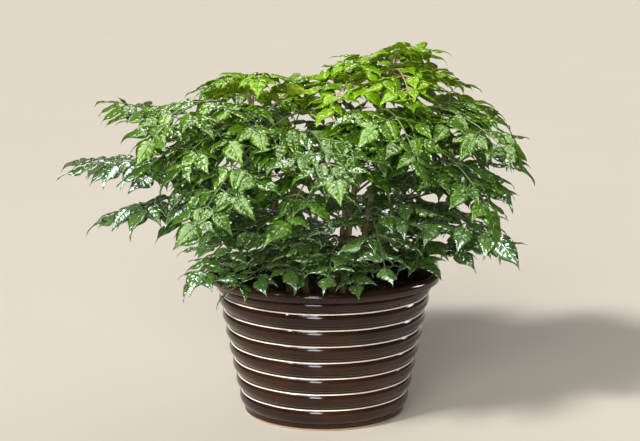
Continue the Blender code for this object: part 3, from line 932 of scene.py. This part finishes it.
def cream_line(look, height):
    """Where the glaze has run off: a thin wobbly line under each crease, on the pot's outside only."""
    wobble = look.times(look.cloud(*LINE_CLOUD), LINE_WOBBLE)
    level = look.less(look.less(height, LOWEST_CREASE - LINE_DROP), wobble)
    steps = look.calc("DIVIDE", level, CREASE_SPACING)
    nearest = look.calc("ABSOLUTE", look.less(steps, look.calc("ROUND", steps)))
    near, far = (edge * LINE_HALF_WIDTH / CREASE_SPACING for edge in LINE_EDGES)
    line = look.ramp(nearest, near, far, 1.0, 0.0)
    top = LOWEST_CREASE + CREASE_SPACING * (CREASES - 0.6)
    foot = LOWEST_CREASE - CREASE_SPACING * 0.5
    fade = 0.1 * CREASE_SPACING
    line = look.times(line, look.ramp(height, top, top + fade, 1.0, 0.0))
    line = look.times(line, look.ramp(height, foot, foot + fade))
    aside, back = look.along("X"), look.along("Y")
    radius = look.calc("SQRT", look.plus(look.times(aside, aside), look.times(back, back)))
    wall = look.plus(look.times(height, BAND_TAPER), band_radius(0.0) - INSIDE_WALL)
    return look.times(line, look.calc("GREATER_THAN", radius, wall))


def glaze_material():
    """Dark brown glaze, the cream line under each crease and the bare clay of the foot, all by height."""
    look = Look("glaze")
    height = look.along("Z")
    line = cream_line(look, height)
    bare = look.ramp(height, *BARE_FOOT, 1.0, 0.0)
    patches = look.cloud(*GLAZE_CLOUD)
    colour = look.blend(look.ramp(patches, 0.3, 0.7), DARK_GLAZE, WARM_GLAZE)
    colour = look.blend(line, colour, LINE_COLOUR)
    colour = look.blend(bare, colour, CLAY_COLOUR)
    dull = look.times(look.calc("MAXIMUM", line, bare), BARE_ROUGHNESS)
    rough = look.plus(look.rough(patches, GLAZE_ROUGHNESS), dull)
    look.put("Specular IOR Level", GLAZE_GLOSS)
    return look.finish(colour, rough, look.cloud(*GLAZE_WAVES), GLAZE_BUMP)


def soil_material():
    """Dark grainy soil with browner patches."""
    look = Look("soil")
    grain = look.cloud(*SOIL_GRAIN)
    patches = look.ramp(look.cloud(*SOIL_CLOUD), 0.5, 0.8)
    colour = look.blend(look.ramp(grain, 0.35, 0.7), DARK_SOIL, LIGHT_SOIL)
    colour = look.blend(patches, colour, BROWN_SOIL)
    return look.finish(colour, SOIL_ROUGHNESS, grain, SOIL_BUMP)


# Pot and soil

def band_radius(height):
    """The pot's cone over the crests of the bands."""
    return BAND_RADIUS_AT_FOOT + BAND_TAPER * (height - FOOT_HEIGHT)


def inner_radius(height):
    """The pot's tapered inside."""
    share = (height - FLOOR_THICKNESS) / (POT_HEIGHT - FLOOR_THICKNESS)
    return INNER_FOOT_RADIUS + (LIP_RADIUS - MOUTH_EDGE - INNER_FOOT_RADIUS) * share


def lathe(profile, segments):
    """Points and faces of a turned solid whose profile starts and ends on the axis."""
    points = [(0.0, 0.0, profile[0][1])]
    for radius, height in profile[1:-1]:
        for step in range(segments):
            turn = 2 * math.pi * step / segments
            points.append((radius * math.cos(turn), radius * math.sin(turn), height))
    points.append((0.0, 0.0, profile[-1][1]))
    rings = len(profile) - 2
    faces = []
    for step in range(segments):
        after = (step + 1) % segments
        faces.append((0, 1 + step, 1 + after))
        for ring in range(rings - 1):
            first, second = 1 + ring * segments, 1 + (ring + 1) * segments
            faces.append((first + step, second + step, second + after, first + after))
        last = 1 + (rings - 1) * segments
        faces.append((last + after, last + step, len(points) - 1))
    return points, faces


def band_hollow(share):
    """How far a band lies inside the pot's cone: a small ledge on top, tucked far under below."""
    upper = max(0.0, 1 - share / BAND_WIDEST)
    lower = max(0.0, (share - BAND_WIDEST) / (1 - BAND_WIDEST))
    return BAND_TOP_DEPTH * upper ** 2 + BAND_BOTTOM_DEPTH * lower ** BAND_BOTTOM_POWER


def pot_profile():
    """From the middle of the floor inside, up, over the rolled lip, down the bands, to the underside."""
    fillet = FLOOR_THICKNESS + FLOOR_FILLET
    profile = [(0.0, FLOOR_THICKNESS), (INNER_FOOT_RADIUS - FLOOR_FILLET, FLOOR_THICKNESS)]
    profile += [(inner_radius(height), height) for height in (fillet, *INNER_HEIGHTS)]
    wide, high = LIP_ROLL
    for step in range(LIP_STEPS):
        turn = math.radians(LIP_FROM - step * LIP_STEP_TURN)
        out, up = math.cos(turn) * wide, math.sin(turn) * high
        profile.append((LIP_RADIUS - wide + out, POT_HEIGHT - high + up))
    above = LIP_UNDERSIDE - LIP_GAP
    creases = [LOWEST_CREASE + CREASE_SPACING * step for step in range(CREASES)][::-1]
    for below in creases + [FOOT_HEIGHT]:
        valley = below + VALLEY_RISE if below > FOOT_HEIGHT else below
        for step in range(BAND_STEPS + 1):
            share = step / BAND_STEPS
            at = above + (valley - above) * share
            profile.append((band_radius(at) - band_hollow(share), at))
        above = below
    profile += [(FOOT_RADIUS + out, height) for out, height in FOOT_SECTION]
    return profile + [(0.0, 0.0)]


def make_pot(material):
    """The pot as one turned solid."""
    points, faces = lathe(pot_profile(), POT_SEGMENTS)
    return new_mesh("glazed_pot", points, faces, [material])


def soil_profile():
    """The soil's half section, from the middle of its top down its side to the pot's floor."""
    low = FLOOR_THICKNESS + CLEARANCE
    rim = inner_radius(SOIL_TOP) - SOIL_GAP
    profile = [(0.0, SOIL_TOP + SOIL_CROWN)]
    for ring in range(1, SOIL_RINGS + 1):
        share = ring / SOIL_RINGS
        profile.append((rim * share, SOIL_TOP + SOIL_CROWN * (1 - share)))
    profile += [(inner_radius(height) - SOIL_GAP, height) for height in (SOIL_MIDDLE, low)]
    return profile + [(0.0, low)]


def crumb(draw, rim, ball):
    """A ball stretched, turned and roughened, pressed into the soil's top."""
    radius = (rim - CRUMB_EDGE) * math.sqrt(draw.random())
    turn = draw.uniform(0, 2 * math.pi)
    size = draw.uniform(*CRUMB_SIZES)
    height = SOIL_TOP + SOIL_CROWN * (1 - radius / rim) + size * CRUMB_RISE
    centre = Vector((radius * math.cos(turn), radius * math.sin(turn), height))
    turned = Euler([draw.uniform(0, CRUMB_TURN) for _ in range(3)]).to_matrix()
    stretch = [draw.uniform(*limits) for limits in CRUMB_STRETCH]
    corners = [turned @ Vector([a * b for a, b in zip(corner, stretch)]) for corner in ball]
    return [centre + corner * size * draw.uniform(*CRUMB_ROUGHNESS) for corner in corners]


def make_soil(material, grit):
    """The soil's rough top on its plug, with crumbs pressed into it."""
    points, faces = lathe(soil_profile(), SOIL_SEGMENTS)
    top_points = (SOIL_RINGS - 1) * SOIL_SEGMENTS + 1
    for index, point in enumerate(points[:top_points]):
        bump = sum(noise.noise(Vector(point) * scale) * rise for scale, rise in SOIL_WAVES)
        points[index] = (point[0], point[1], point[2] + bump - SOIL_SINK)
    shells = Shells()
    shells.add_plain(points, faces, 0)
    shape = bmesh.new()
    bmesh.ops.create_icosphere(shape, subdivisions=1, radius=1.0)
    ball = [vert.co.copy() for vert in shape.verts]
    ball_faces = [tuple(vert.index for vert in face.verts) for face in shape.faces]
    shape.free()
    draw = random.Random(SEED)
    rim = inner_radius(SOIL_TOP) - SOIL_GAP
    for number in range(CRUMBS):
        shells.add_plain(crumb(draw, rim, ball), ball_faces, 0 if number % GRIT_EVERY else 1)
    return shells.build("potting_soil", [material, grit])


def make_stem(name, leaves, material):
    """A stem with a swelling and a scar under each frond, that runs out in a bud."""
    top_height = STEMS[name][2]
    bottom = SOIL_TOP - HOLE_DEPTH + CLEARANCE
    path, radii = [], []
    for step in range(STEM_RINGS + 1):
        height = bottom + (top_height - bottom) * step / STEM_RINGS
        point = stem_axis(name, height)
        swell = sum(math.exp(-((height - leaf + SCAR_DROP) / SCAR_REACH) ** 2) for leaf in leaves)
        spot = Vector((point.x * BARK_WAVES[0], point.y * BARK_WAVES[0], height * BARK_WAVES[1]))
        rough = SCAR_SWELL * min(1.0, swell) + noise.noise(spot) * BARK_SHAKE
        radii.append(stem_radius(name, height) * STEM_SLIMMING + rough)
        path.append(point)
    way = (path[-1] - path[-2]).normalized()
    top, top_radius = path[-1], radii[-1]
    for rise, share in BUD_SECTION:
        path.append(top + way * rise)
        radii.append(top_radius * share)
    shells = Shells()
    shells.tube(path, radii, STEM_SIDES, STEM_AGE, look=0)
    return shells.build(name + "_bark", [material])


def make_tuft(name, number, materials):
    """The youngest leaves, still small, round a stem's bud."""
    draw = random.Random(TUFT_SEED + number)
    top = stem_axis(name, STEMS[name][2])
    shells = Shells()
    for leaf in range(TUFT_LEAVES):
        share = leaf / (TUFT_LEAVES - 1)
        turn = leaf * TUFT_TURN + draw.uniform(-TUFT_TURN_SHIFT, TUFT_TURN_SHIFT)
        shift = draw.uniform(-TUFT_STEEP_SHIFT, TUFT_STEEP_SHIFT)
        steep = math.radians(TUFT_STEEPEST - TUFT_SPREAD * share + shift)
        out = Vector((math.cos(turn), math.sin(turn), 0.0))
        ahead = out * math.cos(steep) + Vector((0.0, 0.0, math.sin(steep)))
        side = Vector((-out.y, out.x, 0.0))
        up = ahead.cross(side)
        length = TUFT_LENGTHS[0] + TUFT_LENGTHS[1] * share
        length += draw.uniform(-TUFT_LENGTH_SHIFT, TUFT_LENGTH_SHIFT)
        root = top - Vector((0.0, 0.0, TUFT_DROP * leaf / TUFT_LEAVES))
        foot = root + ahead * (TUFT_STALKS[0] + TUFT_STALKS[1] * share)
        path = [root, (root + foot) / 2, foot, foot + ahead * length * STALK_REACH]
        shells.tube(path, TUFT_RADII, STALK_SIDES, 1.0)
        droop = ahead * TUFT_DROOP[0] - up * TUFT_DROOP[1]
        normal = droop.cross(side).normalized()
        shells.leaflet(foot, droop.normalized(), side, normal, length, draw, 1.0)
    return shells.build("tuft_of_" + name, materials)


# Stage

def aim(name, data, place):
    """A light in the scene that points at the plant."""
    obj = new_object(name, data)
    obj.location = place
    obj.rotation_euler = (Vector(STAGE_MIDDLE) - Vector(place)).to_track_quat("-Z", "Y").to_euler()
    return obj


def make_floor():
    """A wide pale floor under the pot."""
    look = Look("floor")
    darker = tuple(FLOOR_SHADE * part for part in FLOOR_COLOUR)
    look.put("Base Color", look.blend(look.cloud(*FLOOR_CLOUD), FLOOR_COLOUR, darker))
    look.put("Roughness", FLOOR_ROUGHNESS)
    look.put("Specular IOR Level", FLOOR_GLOSS)
    size = FLOOR_HALF_SIZE
    corners = [(-size, -size, 0.0), (size, -size, 0.0), (size, size, 0.0), (-size, size, 0.0)]
    floor = new_mesh("floor", corners, [(0, 1, 2, 3)], [look.material], smooth=False)


def make_world():
    """A weak even light from all sides."""
    world = bpy.data.worlds.new("studio")
    world.use_nodes = True
    bpy.context.scene.world = world
    background = world.node_tree.nodes["Background"]
    background.inputs["Color"].default_value = (*WORLD_COLOUR, 1.0)
    background.inputs["Strength"].default_value = WORLD_STRENGTH


def make_lights(receivers):
    """The suns, and the panels that show only in the gloss of the pieces that mirror them."""
    for name, place, strength, spread, glossy in SUNS:
        sun = bpy.data.lights.new(name, "SUN")
        sun.energy = strength
        sun.angle = math.radians(spread)
        sun.color = SUN_COLOUR
        aim(name, sun, place).visible_glossy = glossy
    for name, place, size, power, mirrors in GLINTS:
        light = bpy.data.lights.new(name, "AREA")
        light.shape = "RECTANGLE"
        light.size, light.size_y = size
        light.energy = power
        light.color = GLINT_COLOUR
        panel = aim(name, light, place)
        panel.visible_diffuse = False
        if mirrors in receivers:
            panel.light_linking.receiver_collection = receivers[mirrors]


def make_camera():
    """The photograph's view, with plain colours."""
    camera = bpy.data.cameras.new("camera")
    camera.lens = CAMERA_LENS
    camera.sensor_width = SENSOR_WIDTH
    camera.clip_end = CAMERA_FAR
    obj = new_object("camera", camera)
    obj.location = CAMERA_PLACE
    obj.rotation_euler = [math.radians(part) for part in CAMERA_TURN]
    bpy.context.scene.camera = obj
    bpy.context.scene.view_settings.view_transform = "Standard"
    bpy.context.scene.view_settings.look = "None"


def set_down(piece, slot, *nodes):
    """Puts a piece on the part's body, in the place of the nodes that it replaces."""
    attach(piece, "root")
    if nodes:
        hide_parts(*nodes)


def make_fronds(leaves, receivers):
    """Every frond, tier by tier. Returns the heights at which fronds leave each stem."""
    joints = {name: [] for name in STEMS}
    number = 0
    for leave, arch, scale, slot, fronds in TIERS:
        for order, (stem, azimuth, reach, tip) in enumerate(fronds):
            number += 1
            lift = STAGGER * (order % 2)
            heights = (tip + lift, leave + lift, arch + lift)
            frond = Frond(number, stem, azimuth, reach, *heights, scale, AGES[slot])
            joints[stem].append(leave + lift)
            dressed = frond.dress(leaves[slot])
            if slot != "leaf_new" and frond.ahead.y < FRONT_HEADING:
                receivers["front leaves"].objects.link(dressed)
            set_down(dressed, slot, frond.name)
    return joints


def main():
    """The stage, then the pot, the soil, the fronds, the stems and their tufts."""
    receivers = {name: bpy.data.collections.new(name) for name in MIRRORS}
    make_floor()
    make_world()
    make_lights(receivers)
    make_camera()
    leaves = {
        slot: [leaf_material(slot, *look), stalk_material(*STALK_LOOKS[slot])]
        for slot, look in LEAF_LOOKS.items()
    }
    pot = make_pot(glaze_material())
    receivers["pot"].objects.link(pot)
    set_down(pot, "glaze", "pot")
    set_down(make_soil(soil_material(), stalk_material(*GRIT_LOOK)), "soil", "soil")
    bark = bark_material()
    joints = make_fronds(leaves, receivers)
    for number, name in enumerate(STEMS):
        set_down(make_stem(name, joints[name], bark), "bark", name)
        set_down(make_tuft(name, number, leaves["leaf_new"]), "leaf_new")


main()
